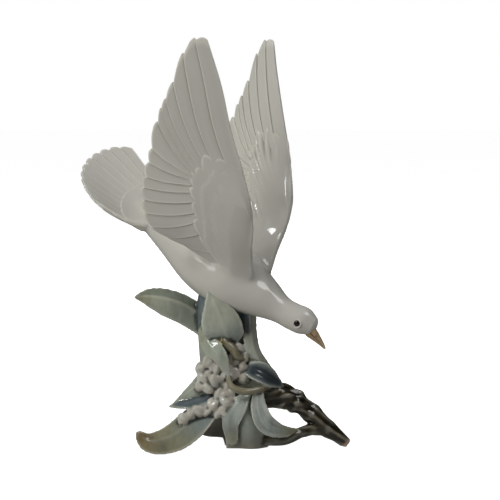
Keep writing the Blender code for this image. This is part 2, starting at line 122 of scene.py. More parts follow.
# The stump: height, middle to the side, middle in depth, half width, half depth.
STUMP = np.array([
    [-20, 9, 10, 23, 20],
    [0, 9, 10, 23, 20],
    [12, 9, 6, 21.5, 20],
    [28, 11, 2, 21.5, 19.5],
    [40, 15, 0, 27, 19],
    [47, 16, 0, 28, 18.5],
    [56, 12.5, 0, 24.5, 18],
    [68, 8, -1, 20.5, 17],
    [84, 6, -2, 19.5, 16.5],
    [102, 5, -3, 19.5, 15.5],
    [118, 2, -3, 14, 12],
], float)
# The stump's glaze up its height, as height and colour: the dark browns low down are painted shade for the low arch
# through the foot, and it turns blue-grey towards its top.
STUMP_SHADES = (
    (2, "#4a463a"), (12, "#5f5b4d"), (22, "#9a988a"), (50, "#bcbfb1"), (80, "#b2bab0"), (92, "#87949a"),
    (112, "#6b7a80"),
)


def through(x, knots, values):
    """A smooth cubic through the values at the knots, read at x."""
    knots = np.asarray(knots, float)
    values = np.asarray(values, float)
    slopes = np.gradient(values, knots, axis=0)
    i = np.clip(np.searchsorted(knots, x, side="right") - 1, 0, len(knots) - 2)
    span = knots[i + 1] - knots[i]
    t = (x - knots[i]) / span
    if values.ndim > 1:
        t, span = t[..., None], span[..., None]
    return (
        values[i] * (1 + 2 * t) * (1 - t) ** 2
        + values[i + 1] * t * t * (3 - 2 * t)
        + slopes[i] * span * t * (1 - t) ** 2
        - slopes[i + 1] * span * t * t * (1 - t)
    )


def along(points, t):
    """A smooth curve through evenly timed points, read at t from 0 to 1."""
    return through(np.asarray(t, float), np.linspace(0, 1, len(points)), points)


def ease(x, low, high):
    """0 below low, 1 above high, and a smooth rise between."""
    t = np.clip((x - low) / (high - low), 0, 1)
    return t * t * (3 - 2 * t)


def fall(x, low, high):
    """1 below low, 0 above high, and a smooth fall between."""
    return 1 - ease(x, low, high)


def circle(count):
    """Angles evenly round a full turn."""
    return np.linspace(0, math.tau, count, endpoint=False)


def bump(x, width):
    """A round ridge, 1 where x is 0, that fades over width."""
    return np.exp(-((x / width) ** 2))


def unit(v):
    return v / np.linalg.norm(v, axis=-1, keepdims=True)


def linear(code):
    """The linear colour of an sRGB hex code."""
    c = np.array([int(code[i:i + 2], 16) for i in (1, 3, 5)]) / 255
    return np.where(c <= 0.04045, c / 12.92, ((c + 0.055) / 1.055) ** 2.4)


def ramp(t, *stops):
    """The colour at t between stops of (place, hex code), blended smoothly and in order."""
    t = np.asarray(t, float)[..., None]
    shade = np.broadcast_to(linear(stops[0][1]), t.shape[:-1] + (3,))
    for (low, _), (high, code) in zip(stops, stops[1:]):
        k = ease(t, low, high)
        shade = shade * (1 - k) + linear(code) * k
    return shade


def grid_triangles(rows, columns, wrap=False):
    """The triangles of a grid of points numbered row by row, its last column joined to its first where it wraps."""
    i = np.arange(rows - 1)[:, None] * columns
    j = np.arange(columns if wrap else columns - 1)[None, :]
    k = (j + 1) % columns
    a, b, c, d = np.broadcast_arrays(i + j, i + k, i + columns + k, i + columns + j)
    return np.concatenate([np.stack([a, b, c], -1).reshape(-1, 3), np.stack([a, c, d], -1).reshape(-1, 3)])


def grid_of(x, y, z):
    """Points from three arrays of places, each spread out to the same grid."""
    return np.stack(np.broadcast_arrays(x, y, z), -1)


def rings_on(line, side, out, rise, up):
    """Rings of points round a line, a row for each of its points, out along its side and up along its rise."""
    return line[:, None] + side[:, None] * out[..., None] + rise[:, None] * up[..., None]


def skin(rings, **marks):
    """A closed skin over rings of points, each end a fan to its middle. marks hold one value for each point."""
    count, around = rings.shape[:2]
    points = np.concatenate([rings.reshape(-1, 3), rings[[0, -1]].mean(axis=1)])
    j = np.arange(around)
    k = (j + 1) % around
    last = (count - 1) * around
    near = np.stack([k, j, np.full(around, count * around)], -1)
    far = np.stack([last + j, last + k, np.full(around, count * around + 1)], -1)
    triangles = np.concatenate([grid_triangles(count, around, wrap=True), near, far])
    for name, mark in marks.items():
        marks[name] = np.concatenate([mark.reshape((count * around,) + mark.shape[2:]), mark[[0, -1], 0]])
    return points, triangles, marks


def sheet(place, p, q, front, back, **marks):
    """A closed plate: the surface place(p, q), thickened along its normal by front on one side and back on the other.

    A mark is one array for both faces, or a pair of arrays, one for each.
    """
    step = 0.1
    across = place(p + step, q) - place(p - step, q)
    upward = place(p, q + step) - place(p, q - step)
    normal = unit(np.cross(across, upward))
    middle = place(p, q)
    rows, columns = p.shape
    count = rows * columns
    points = np.concatenate([
        (middle + normal * front[..., None]).reshape(-1, 3),
        (middle - normal * back[..., None]).reshape(-1, 3),
    ])
    face = grid_triangles(rows, columns)
    index = np.arange(count).reshape(rows, columns)
    rim = np.concatenate([index[0, :-1], index[:-1, -1], index[-1, :0:-1], index[:0:-1, 0]])
    after = np.roll(rim, -1)
    wall = np.concatenate([np.stack([after, rim, rim + count], -1), np.stack([after, rim + count, after + count], -1)])
    for name, mark in marks.items():
        pair = mark if isinstance(mark, tuple) else (mark, mark)
        marks[name] = np.concatenate([m.reshape((count,) + m.shape[2:]) for m in pair])
    return points, np.concatenate([face, face[:, ::-1] + count, wall]), marks


def covert_grid(columns, rows, crowding):
    """u across a wing or fan and s from root to edge, as a grid whose rows crowd towards the edge."""
    u = np.linspace(0, 0.9999, columns)[:, None]
    s = (1 - (1 - np.linspace(0, 1, rows)) ** crowding)[None, :]
    return u + 0 * s, s + 0 * u


def feather_grid(across, count, v):
    """The number of each feather, the share across it and v along it, as a grid with the same steps in each feather."""
    share = np.tile(across, count)[:, None] + 0 * v
    return np.repeat(np.arange(count), len(across))[:, None] + np.zeros(len(v), int), share, v + 0 * share


def lipped(share, half, tilt, line, end, lip, groove, rim, pool):
    """The two faces of a row of feathers that lie tilted on each other, with their pale lips and dark grooves.

    Across a feather a face rises in a straight line from its low edge to its high one, by tilt, with a fine raised lip
    along the high edge and a groove along the low one. The other face does the opposite. lip is a height, a place and
    a width; groove is a depth and a width. rim is the width of the pale mark along the lip, which with the pale feather
    end is thin glaze and a painted highlight, and pool the width of the dark mark along the groove, which is gathered
    glaze and painted shade.
    """
    faces, rims, pools = [], [], []
    for s in (share, 1 - share):
        fine = lip[0] * bump(s - lip[1], lip[2]) - groove[0] * bump(s - 0.02, groove[1])
        faces.append(half + (s - 0.5) * tilt + fine * line)
        # Painted highlight and thin glaze on lip and end; painted shade and gathered glaze in the groove.
        rims.append(np.maximum(bump(s - 0.97, rim) * line, end))
        pools.append(bump(s - 0.012, pool) * line)
    return faces, tuple(rims), tuple(pools)


def round_edge(s, width):
    """1 up to the last width of s, where it falls to 0 as a quarter circle does."""
    return np.sqrt(np.clip(1 - ((s - (1 - width)) / width).clip(0, 1) ** 2, 0, 1))


def body_skin():
    """The bird from rump to face: rounded sections across the bent middle line, rolled with the fan near the tail.

    A section point at angle a stands half width x cos(a) to the side and half depth x sin(a) up, from the line, the
    cosine and sine taken to the power 0.94 to fill the corners a little. Over the shoulders it also rises and falls
    by a sine along the back that bends with a, as loosely laid small feathers.
    """
    t = np.linspace(0, 1, 190)
    line = along(BODY_LINE, t)
    run = unit(np.gradient(line[:, :2], axis=0))
    centre = line[:, :1] * AHEAD + line[:, 1:2] * UP
    lift = -run[:, 1:] * AHEAD + run[:, :1] * UP
    turn = circle(140)
    side = np.sign(np.cos(turn)) * np.abs(np.cos(turn)) ** 0.94
    rise = np.sign(np.sin(turn)) * np.abs(np.sin(turn)) ** 0.94
    roll = TAIL_ROLL * fall(line[:, 0], -62, -36)
    bent = 7.5 * t[:, None] * (1 + 0.04 * np.sin(3 * turn)) + 0.55 * np.sin(2 * turn - 0.6)
    loose = bump(line[:, 0] - 14, 17)[:, None] * bump(turn - math.radians(100), 0.85)
    swell = 0.95 * np.sin(math.tau * 2.1 * bent) * loose
    side_axis = np.cos(roll)[:, None] * LEFT + np.sin(roll)[:, None] * lift
    rise_axis = np.cos(roll)[:, None] * lift - np.sin(roll)[:, None] * LEFT
    out, up = (line[:, 2, None] + swell) * side, (line[:, 3, None] + swell) * rise
    return skin(rings_on(centre, side_axis, out, rise_axis, up))


def wing_surface(side):
    """The wing's middle surface: it leans out from the shoulder, and its rear edge opens away from the body."""

    def place(p, q):
        spread = through(q, WING_SPREAD[:, 0], WING_SPREAD[:, 1])
        opened = ease(q, 122, 166)
        out = (spread - p * math.sin(WING_TWIST) * opened) * WING_OUT[side]
        forward = WING_LINE + p * math.cos(WING_TWIST)
        return forward[..., None] * AHEAD + side * out[..., None] * LEFT + q[..., None] * UP

    return place


def wing_rays(side, number, share, v):
    """Where the wing's feather rays run, in its own flat: from under the coverts at SPLIT to the feather ends at 1.

    Each ray is nearly straight and sags a little on its lower side. number is the feather it lies on and share how
    far across it, and it runs a little past the line between notches, to make the feather's round end. The right
    wing's leading edge also bows forward.
    """
    u = (number + share) / FEATHERS
    covert = along(COVERT_EDGE, u)
    chord = NOTCHES[number + 1] - NOTCHES[number]
    ends = NOTCHES[number] + chord * share[..., None]
    bulge = 2.35 * share ** 0.45 * (1 - share) ** 0.8 * (0.7 + 0.19 * np.hypot(chord[..., 0], chord[..., 1]))
    span = ends - covert
    length = np.linalg.norm(span, axis=-1)
    w = v + bulge / length * (1 - SPLIT) * ease(v, 0.5, 1) * fall(u, 0.96, 1)
    t = (w - SPLIT) / (1 - SPLIT)
    sag = through(u, [0, 0.1, 0.3, 0.6, 0.85, 1], [0.01, 0.045, 0.06, 0.035, 0.05, 0.03]) * 4 * t * (1 - t)
    lower = np.stack([-span[..., 1], span[..., 0]], -1)
    ray = covert + span * t[..., None] + lower * sag[..., None]
    # Under the coverts the blade draws in from the leading edge.
    p, q = ray[..., 0] - 2.2 * fall(t, -0.1, 0.03) * fall(u, 0, 0.12), ray[..., 1]
    bow = 2.6 * bump(t - 0.66, 0.30) * fall(u, 0, 0.25) * (side < 0)
    return swept(side, p + bow, q), q, u


def swept(side, p, q):
    """The left wing's leading edge lies back a little towards its tip."""
    return p - WING_SWEEP[side] * ease(q, 160, 300) * np.clip((p + 48) / 36, 0, 1)


def wing_flesh(q, u, v):
    """What the wing's flesh adds to half the feathers' wall, and the factor that thins both at arm and leading edge."""
    root = fall(q, 112, 176)
    arm_flesh = fall(v, 0, SPLIT) * (1 - 0.55 * ease(u, 0, 0.5))
    depth = 6 * root * fall(v, 0.25, 0.75) * (1 - 0.7 * ease(u, 0.85, 1)) + 3.2 * arm_flesh
    lead = np.clip(v / 0.13, 0.12, 1) ** 0.5 * np.clip(u / 0.035, 0.30, 1) ** 0.5
    return depth, lead


def feathers(side):
    """A wing's flight feathers: a blade of rays whose thickness saws from feather to feather, with a faint shaft."""
    across = np.array([0, .015, .05, .1, .17, .26, .36, .46, .5, .54, .64, .74, .83, .9, .95, .985, .9995])
    number, share, v = feather_grid(across, FEATHERS, np.linspace(0.365, 1, 88))
    p, q, u = wing_rays(side, number, share, v)
    vane = ease(v, SPLIT - 0.08, SPLIT + 0.05)
    tilt = 0.72 * vane * ease(u, 0, 0.03) * (1 - 0.3 * ease(u, 0.75, 1))
    depth, lead = wing_flesh(q, u, v)
    half = (0.5 * FEATHER_WALL + 0.8 * depth) * lead * (1 - 0.25 * ease(v, 0.8, 1))
    shaft = 0.10 * bump(share - 0.42, 0.05) * vane * fall(v, 0.8, 0.97) * fall(u, 0.35, 0.6)
    half = np.maximum(half, 0.3 * FEATHER_WALL) + shaft - 0.35 * ease(v, 0.975, 1)
    end = ease(v, 0.955, 0.985) * vane
    faces, rims, pools = lipped(
        share, half, tilt, vane * ease(u, 0, 0.06), end, (0.14, 0.95, 0.06), (0.16, 0.07), 0.06, 0.055)
    if side > 0:
        faces, rims, pools = faces[::-1], rims[::-1], pools[::-1]
    return sheet(wing_surface(side), p, q, *faces, rim=rims, pool=pools)


def coverts(side):
    """A wing's arm and coverts: its rays as far as a scalloped edge that lies on the flight feathers.

    The under side has two rows of soft scallops inside the edge, with faint barbs. The upper side is ruffled into
    short curls near its edge. The left wing's edge reaches further out along its upper half.
    """
    u, s = covert_grid(320, 110, 1.6)
    phase = 9 * u ** 1.15 + 0.3
    scallop = np.abs(np.sin(math.pi * phase)) ** 0.6
    edge = SPLIT + 0.004 + 0.054 * (scallop - 0.6) * ease(u, 0.02, 0.12)
    if side > 0:
        edge = edge + 0.13 * fall(u, 0.02, 0.62) + 0.02 * np.sin(math.tau * 13 * u) * ease(u, 0.02, 0.1)
    v = s * edge
    p, q = smooth_rays(side, u, v)
    depth, lead = wing_flesh(q, u, v)
    # The coverts thin out towards their edge, which lies only a little above the flight feathers.
    thin = 0.2 + 0.8 * round_edge(s, 0.045)
    half = (0.5 * FEATHER_WALL + COVERT_STEP * ease(u, 0, 0.18) + depth) * lead
    rows = 0 * s
    for number, (middle, height) in enumerate(((0.74, 0.34), (0.52, 0.26))):
        round_end = np.abs(np.sin(math.pi * (phase + 0.5 * (number + 1)))) ** 0.6
        inner = middle + 0.10 * (round_end - 0.5)
        rows = rows + height * fall(s, inner - 0.012, inner + 0.018) * ease(s, inner - 0.22, inner)
    barbs = 0.05 * np.sin(math.tau * phase * 4) * ease(s, 0.55, 0.9)
    row = (rows + barbs) * ease(u, 0, 0.1)
    curl = np.sin(math.tau * (19 * u + 2.2 * s + 0.25 * np.sin(9 * u)))
    ruffled = ease(s, 0.50, 0.85) * ease(u, 0.02, 0.1) * fall(u, 0.75, 0.95)
    curl = 0.60 * np.sign(curl) * np.abs(curl) ** 0.8 * ruffled
    under = (half + row) * thin
    top = (half + (0.3 + ease(s, 0.35, 0.9)) * ease(u, 0.05, 0.25) + curl) * thin
    return sheet(wing_surface(side), p, q, *((under, top) if side < 0 else (top, under)))


def smooth_rays(side, u, v):
    """The wing's rays with no feather ends, as smooth curves of u, for the arm and coverts."""
    arm, covert = along(ARM, u), along(COVERT_EDGE, u)
    ends = along(NOTCHES, u)
    a = (v - SPLIT) * (v - 1) / SPLIT
    b = v * (v - 1) / (SPLIT * (SPLIT - 1))
    c = v * (v - SPLIT) / (1 - SPLIT)
    ray = arm * a[..., None] + covert * b[..., None] + ends * c[..., None]
    p, q = ray[..., 0], ray[..., 1]
    return swept(side, p, q), q


def tail_surface():
    """The fan's middle surface: a shallow cup, rolled towards the viewer about the tail's own line."""
    back = -math.cos(TAIL_PITCH) * AHEAD + math.sin(TAIL_PITCH) * UP
    lift = math.sin(TAIL_PITCH) * AHEAD + math.cos(TAIL_PITCH) * UP
    across = -math.cos(TAIL_ROLL) * LEFT - math.sin(TAIL_ROLL) * lift
    upper = math.cos(TAIL_ROLL) * lift - math.sin(TAIL_ROLL) * LEFT
    root = TAIL_ROOT[0] * AHEAD + TAIL_ROOT[1] * UP

    def place(p, q):
        cup = TAIL_CUP * p * p
        return root + p[..., None] * across + q[..., None] * back + cup[..., None] * upper

    return place


def tail_ray(x, w):
    """Where the ray at x, from -1 to 1 across the fan, is in its own flat, w from 0 at the rump to 1 at the end.

    Each ray reaches from the rump's edge to its own angle of the fan, and bends outwards. The third value thins the
    fan at its two sides.
    """
    angle = TAIL_TURN + TAIL_SPREAD * x
    reach = TAIL_REACH * (1 - 0.16 * x ** 2 - 0.16 * x)
    base_p, base_q = TAIL_BASE * x, -6 - 2 * x
    p = base_p + (reach * np.sin(angle) - base_p) * w * (1.4 - 0.4 * w)
    q = base_q + (reach * np.cos(angle) - base_q) * w
    return p, q, np.clip((1 - np.abs(x)) / 0.12, 0.3, 1) ** 0.5


def tail_feathers():
    """The tail's feathers: a fan of rays, sawing in thickness from feather to feather, with raised lips."""
    across = np.array([0, .015, .05, .1, .18, .28, .39, .5, .61, .72, .82, .9, .95, .985, .9995])
    number, share, v = feather_grid(across, TAIL_FEATHERS, np.linspace(0.15, 1, 80))
    x = 2 * (number + share) / TAIL_FEATHERS - 1
    bulge = (4 * share * (1 - share)) ** 0.5 * (1 - 0.8 * x ** 6)
    p, q, side = tail_ray(x, v * (0.96 + 0.06 * bulge * v))
    vane = ease(v, 0.30, 0.48)
    half = (0.5 * TAIL_WALL + 2 * fall(v, 0, 0.45)) * side * (1 - 0.3 * ease(v, 0.8, 1))
    half = half - 0.3 * ease(v, 0.975, 1)
    end = bump(v - 0.99, 0.014) * vane
    faces, rims, pools = lipped(share, half, 0.55 * vane, vane, end, (0.10, 0.94, 0.08), (0.12, 0.08), 0.07, 0.06)
    return sheet(tail_surface(), p, q, *faces, rim=rims, pool=pools)


def tail_coverts():
    """The rump's coverts: a smooth dome on the fan's root, its soft edge running into the feathers."""
    u, s = covert_grid(200, 70, 1.5)
    x = 2 * u - 1
    edge = 0.40 + 0.07 * np.sqrt(np.clip(1 - x ** 2, 0, 1)) + 0.010 * np.abs(np.sin(math.pi * (u * 5 + 0.2)))
    v = s * edge
    p, q, side = tail_ray(x, v * 0.97)
    half = (0.5 * TAIL_WALL + 0.55 + 3 * fall(v, 0, 0.42)) * side * (0.25 + 0.75 * round_edge(s, 0.10))
    return sheet(tail_surface(), p, q, half, half)


LEAF_WALL = 2.2


def leaf(spine, facing, half_width=None, widths=None, cup=0.25, fold=0, curl=0, wave=0, pleats=0, turned=0,
         shades=("#a7ada0", "#b6bcab", "#b3b6a3"), edge="#d3d6c6", rib="#c6cab4", dark_half=None, deep=None):
    """A leaf: a plate along its midrib, cupped across, creased along it, its rim curled and waved, with a raised rib.

    Across at s from -1 to 1 the blade bows by -cup x s squared x half width, its rim rises by curl x s to the 4th and
    swings by wave x a sine along it, and pleats add a sine of s that turns along it, with no rib then. widths gives
    half widths at evenly timed places, one list for both sides or one for each, where the leaf isn't the plain oval
    of half_width. shades are the glaze at stalk, middle and tip, deep a darker colour along a hollow middle that is
    painted shade, and dark_half is the side, 1 or -1, that a second glaze covers.
    """
    spine = np.asarray(spine, float)
    facing = unit(np.asarray(facing, float))
    length = np.linalg.norm(np.diff(spine, axis=0), axis=1).sum()
    if widths:
        widths = widths if isinstance(widths, tuple) else (widths, widths)
    wide = half_width or max(max(side) for side in widths)

    def place(p, q):
        t = q / length
        s = p / wide
        run = unit(along(spine, np.clip(t + 0.01, 0, 1)) - along(spine, np.clip(t - 0.01, 0, 1)))
        across = unit(np.cross(run, facing))
        bow = -cup * p * p / wide - fold * np.sqrt(p * p + 0.25) + curl * s ** 4
        bow = bow + wave * np.abs(s) ** 3 * np.sin(2 * math.tau * t + turned + 1.3 * np.sign(s))
        bow = bow + pleats * np.sin(math.tau * (0.9 * s + 0.8 * t) + turned) * ease(t, 0.05, 0.4)
        return along(spine, t) + across * p[..., None] + np.cross(across, run) * bow[..., None]

    t = 0.5 - 0.5 * np.cos(math.pi * np.linspace(0, 1, 84))[:, None]
    s = np.sin(0.5 * math.pi * np.linspace(-1, 1, 49))[None, :]
    t, s = t + 0 * s, s + 0 * t
    if widths:
        low, high = (np.maximum(along(np.array(side, float), t), 0.3) for side in widths)
        width = np.where(s < 0, low, high) * np.sqrt(np.clip(np.minimum(t, 1 - t) / 0.03, 0.08, 1))
    else:
        width = half_width * np.sin(math.pi * np.clip(t, 0.02, 0.985) ** 0.85) ** 0.75
    side = np.abs(s)
    fade = fall(t, 0.8, 1)
    half = 0.5 * LEAF_WALL * (1 - 0.45 * side ** 3) * (1 - 0.3 * t)
    stem = 0.50 * bump(s, 0.07 + 0.08 * (1 - t)) * fall(t, 0.75, 1) * (pleats == 0)
    veins = 0.07 * np.sin(math.tau * (9 * t - 2.2 * side)) * ease(side, 0.1, 0.4) * fall(side, 0.75, 1)
    layers = []
    # deep darkens the hollow middle: painted shade.
    if deep:
        layers.append((fall(side, 0.35, 0.85) * ease(t, 0.02, 0.2) * fall(t, 0.82, 1), deep))
    if dark_half:
        layers.append((ease(dark_half[0] * s, 0, 0.1) * 0.85 * fade, dark_half[1]))
    layers += [(ease(side, 0.78, 0.99) * 0.8, edge), (bump(s, 0.09) * 0.6 * fade * (pleats == 0), rib)]
    tint = ramp(t, (0, shades[0]), (0.1, shades[0]), (0.55, shades[1]), (0.95, shades[2]))
    for k, code in layers:
        tint = tint * (1 - k[..., None]) + linear(code) * k[..., None]
    return sheet(place, width * s, t * length, half + stem + veins, half, tint=tint)


def tube(points, radii, bark, around=40, count=150, knots=(), shades=("#241f14", "#352e1f", "#6d6148"), tip=None):
    """A round bar along a smooth curve, its bark in slow ridges that wander along it, swollen at knots.

    The radius grows by bark x the sum of two sines of the angle, each turned by sines of the length, and of a third
    that runs along it. A knot is its place from 0 to 1 and how far it stands out. tip is the colour of a broken end.
    """
    t = np.linspace(0, 1, count)
    line = along(points, t)
    radius = through(t, np.linspace(0, 1, len(radii)), radii)
    run = unit(np.gradient(line, axis=0))
    level = unit(np.cross(run, np.array([0.15, 1, 0.1])))
    depth = np.cross(run, level)
    a, l = circle(around), t[:, None]
    ridge = 0.6 * np.sin(5 * a + 2.2 * np.sin(7 * l) + 3 * l) + 0.4 * np.sin(9 * a - 3.1 * np.sin(5 * l + 1) + 17 * l)
    ridge = ridge + 0.5 * np.sin(31 * l + 1.5 * np.sin(a)) * np.sin(2 * a + 4 * l)
    swell = sum((size * bump(t - at, 0.035) for at, size in knots), 0 * t)
    grown = radius[:, None] * (1 + bark * ridge) + swell[:, None] * (0.5 + 0.5 * np.cos(a - 1.2))
    rings = rings_on(line, level, grown * np.cos(a), depth, grown * np.sin(a))
    tint = ramp(0.5 + 0.35 * ridge + 0 * l, (0, shades[0]), (0.5, shades[1]), (1, shades[2]))
    if tip:
        k = ease(t, 0.965, 0.985)[:, None, None]
        tint = tint * (1 - k) + linear(tip) * k
    return skin(rings, tint=tint)


def stump_skin():
    """The stump: sections that swell towards the ground, with root folds and slow hollows round them.

    The radius at angle a and height z is the section's, times 1 plus shallow sines of a that turn with z.
    """
    heights = np.linspace(STUMP[0, 0], STUMP[-1, 0], 190)
    line = through(heights, STUMP[:, 0], STUMP[:, 1:])
    a, z = circle(150), heights[:, None]
    folds = 1 + 0.05 * np.sin(5 * a + 0.6) * fall(z, 20, 90)
    folds = folds + 0.028 * np.sin(7 * a + 0.07 * z + 0.8 * np.sin(0.05 * z)) + 0.016 * np.sin(13 * a - 0.11 * z)
    x, y, wide, deep = line.T[..., None]
    rings = grid_of(x + wide * folds * np.cos(a), y + deep * folds * np.sin(a), z)
    return skin(rings, tint=ramp(z + 0 * a, *STUMP_SHADES))


def bud(middle, size, number):
    """A blossom bud: an oval gathered into soft ribs that run from its stalk to its tip.

    The radius at angle a round the bud and b along it is 1 plus a small cosine of 5 a, times the sine of b. number
    turns the bud its own way.
    """
    radius = BUD_RADIUS * size
    lean = unit(np.array([math.cos(number), 0.3, math.sin(2 * number)]))
    side = unit(np.cross(lean, LEFT))
    b = np.linspace(0.04, math.pi - 0.04, 26)[:, None]
    a = circle(36)
    ribs = 1 + 0.12 * np.cos(5 * a + 0.9 * np.cos(b) + number) * np.sin(b)
    across = np.stack([radius * ribs * np.sin(b) * np.cos(a), 0.85 * radius * ribs * np.sin(b) * np.sin(a)], -1)
    rings = across @ np.array([side, np.cross(lean, side)]) + (1.15 * radius * np.cos(b) + 0 * a)[..., None] * lean
    tint = ramp(0.5 + 0.5 * np.cos(b) + 0 * a, (0, "#e3dacd"), (0.5, "#efece2"), (1, "#f2efe6"))
    return skin(rings + np.array(middle, float), tint=tint)


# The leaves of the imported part: midrib from stalk to tip, the way the upper side faces, the blade's shape and glazes.
LEAVES = {
    "leaf_left": dict(
        spine=[(-5, 0, 90), (-23, -4, 102.4), (-37.6, -6, 107.5), (-49.9, -7, 109.3), (-60, -8, 109)],
        facing=(0.15, -0.9, 0.45), fold=0.30, cup=0.08, widths=([12, 13, 11.5, 7, 0.6], [7.5, 8.8, 9, 7, 0.6]),
        shades=("#c0c7bc", "#cbd0be", "#b0ac90"), rib="#e3e6cc", edge="#d8ddcc", dark_half=(1, "#98a192"), wave=0.4),
    "leaf_belly": dict(
        spine=[(9, -16, 76), (6.5, -23, 87), (1, -24, 102), (-5.5, -20, 117.5)], facing=(-0.05, -1, 0.1), cup=0.16,
        widths=([6, 12.5, 15.5, 16.2, 14.8, 11, 6.2, 1], [6, 11.2, 12.8, 13, 11.4, 8.6, 5, 1]), curl=1.3,
        shades=("#aeb9b6", "#c8cdbd", "#ced3c2"), edge="#e4e8db", rib="#cfd4c4"),
    "leaf_hanging": dict(
        spine=[(-11, -7, 88), (-5.5, -20.5, 77), (2.5, -27.5, 68.5), (9.4, -28.5, 53.5)], facing=(-0.25, -1, 0.2),
        cup=0.22, widths=[3.5, 6.2, 6.6, 4.8, 0.6], curl=0.8,
        shades=("#b9bda6", "#b3bcae", "#c2c8ba"), edge="#cfcfa6", rib="#b9c0b0"),
    # A dark leaf where another leaf's shadow falls on the stump: its dark colours are painted shadow.
    "leaf_shadow": dict(
        spine=[(20, -14, 78), (20.5, -15, 86), (20, -16, 94), (18, -16, 101)], facing=(-0.1, -1, 0), cup=-0.2,
        widths=([1.5, 3.4, 4.8, 5.5, 5.5], [1.2, 3, 4.6, 5.2, 5]), shades=("#4c565a", "#586369", "#5c686e"),
        edge="#a8b0a9", rib="#56616a"),
    "leaf_tall": dict(
        spine=[(25, -11, 99), (25, -14, 84), (27.5, -16, 70), (36, -15, 56), (47, -12, 46)], facing=(0.4, -0.9, 0.15),
        cup=0.25, widths=([4, 4.6, 5.2, 5.4, 1.5], [5, 6, 6.2, 5.2, 1.5]), curl=0.5,
        shades=("#c6ccc0", "#cdd2c5", "#b5bcae"), edge="#dadecf", rib="#d2d6c8"),
    "leaf_dark": dict(
        spine=[(21, -19, 58.5), (30, -21, 56), (39, -19, 51), (48, -13, 45)], facing=(0.1, -0.9, 0.45), cup=-0.35,
        widths=([3.8, 7.2, 7.4, 5.4, 0.8], [3.8, 7.2, 7.6, 5.6, 0.8]), curl=1.2,
        shades=("#808b8d", "#7b868a", "#8c958f"), edge="#c9cfc3", rib="#4a5459", deep="#4a545a"),
    "leaf_foot_left": dict(
        spine=[(-6, -12, 32), (-19.2, -24, 20), (-32, -30, 11), (-47.4, -33, 8.2), (-57.5, -34, 15)],
        facing=(-0.2, -0.75, 0.66), cup=0.20, widths=([11, 13.5, 12.5, 9, 2.4], [10, 12, 11.5, 7.5, 2.4]), curl=1,
        shades=("#8f9b9b", "#9c9a82", "#a39069"), edge="#cfc9b2", rib="#b4b5a4"),
    "leaf_foot_front": dict(
        spine=[(20, -17, 41), (18, -23, 30), (16, -24, 14), (15, -14, -12)], facing=(-0.1, -1, 0.3), cup=0.40,
        widths=([7, 14, 18, 20, 21], [10, 15, 13, 10, 8]), pleats=1.3, curl=0.6, turned=0.6,
        shades=("#ccd5cb", "#b9c3bb", "#a39d8a"), edge="#d9ddd0"),
    "leaf_foot_fold": dict(
        spine=[(23, -20, 42), (15, -26, 34), (8.5, -26.5, 21), (11, -22, 3)], facing=(-0.40, -0.9, 0.25), cup=0.3,
        widths=([3, 7, 8.6, 7.6, 4.2], [2.2, 4.8, 6.2, 5.4, 3]), curl=1.2, wave=0.5,
        shades=("#ccd5cb", "#c0cac3", "#a7a594"), edge="#e2e6da", rib="#b4beb8"),
    "leaf_foot_right": dict(
        spine=[(31, -22, 46.5), (30, -26, 33), (34.5, -27, 20.5), (45, -23, 14), (60, -16, 13)],
        facing=(0.15, -1, 0.3), cup=-0.22, widths=([2.4, 5.6, 7, 5.4, 0.8], [3, 5.8, 7, 5.2, 0.8]), curl=1.2,
        shades=("#e2e8e2", "#dbe2dd", "#8b896c"), edge="#d8ddd3", rib="#9fabac"),
    "leaf_small_left": dict(
        spine=[(-2, -14, 38), (-12, -18, 35), (-23, -17, 32.5), (-35, -14, 30)], facing=(-0.2, -0.6, 0.8),
        cup=-0.1, widths=[3, 6, 6.2, 4.5, 0.8], curl=0.8,
        shades=("#7d888c", "#869195", "#b5bda6"), edge="#c6cdbf", rib="#7a868b", deep="#77838a"),
    "leaf_flare": dict(
        spine=[(-6, -10, 56), (-14, -12, 46), (-24, -13, 37), (-33, -13, 30)], facing=(-0.4, -0.8, 0.5), cup=0.3,
        widths=([6, 8, 6.5, 3, 0.8], [5, 6, 5, 3, 0.8]), shades=("#bcc1b3", "#b7beb1", "#aeb6a4"), edge="#cfd4c5"),
    "leaf_back": dict(
        spine=[(6, 10, 74), (0, 19, 54), (-9, 25, 30), (-17, 30, 1.6)], half_width=13,
        facing=(-0.2, 1, 0.3), cup=0.3, curl=0.8, wave=0.8),
    "leaf_back_right": dict(
        spine=[(18, 10, 62), (25, 18, 44), (27, 25, 22), (29, 31, 1.6)], half_width=13,
        facing=(0.4, 1, 0.3), cup=0.3, curl=0.8, wave=0.8),
}

# Blossom buds: middle, and size against the common radius.
BUD_RADIUS = 4.2
BUDS = [
    ((-6, -18, 64), 1.1), ((-1, -19, 59), 1.2), ((-10, -15, 58), 1.25), ((-9, -16, 51), 1.25), ((-1, -19, 50), 1.3),
    ((15, -17, 73), 1), ((13, -17, 66), 1.35), ((17, -17, 59), 1.2), ((12, -19, 55), 1.2), ((-24, -24, 23), 1),
    ((-19, -23, 26), 1.05), ((-14, -22, 28), 1.1), ((-8, -20, 29), 1.2), ((-2, -20, 33), 1.2), ((3, -20, 40), 1.25),
    ((7, -22, 35), 1.3), ((12, -22, 34), 1.1), ((5, -22, 28), 1.1), ((-4, -17, 55), 1.2), ((3, -19, 53), 1.1),
    ((6, -19, 46), 1.2), ((18, -18, 66), 1), ((10, -18, 60), 1.1), ((19, -19, 52), 1), ((8, -21, 41), 1.1),
    ((-12, -16, 46), 1), ((0, -20, 27), 1.1), ((11, -21, 28), 1), ((-6, -18, 45), 1.1),
]

# The branch and its fork, and the two twigs: the radii that their own numbers are shares of, and their glazes.
BRANCH_RADIUS = 8
FORK_SHADES = ("#2c271a", "#3d3925", "#55513a")
TWIG_RADIUS = 2.4
TWIG_SHADES = ("#5b4f2b", "#75673a", "#897b4c")


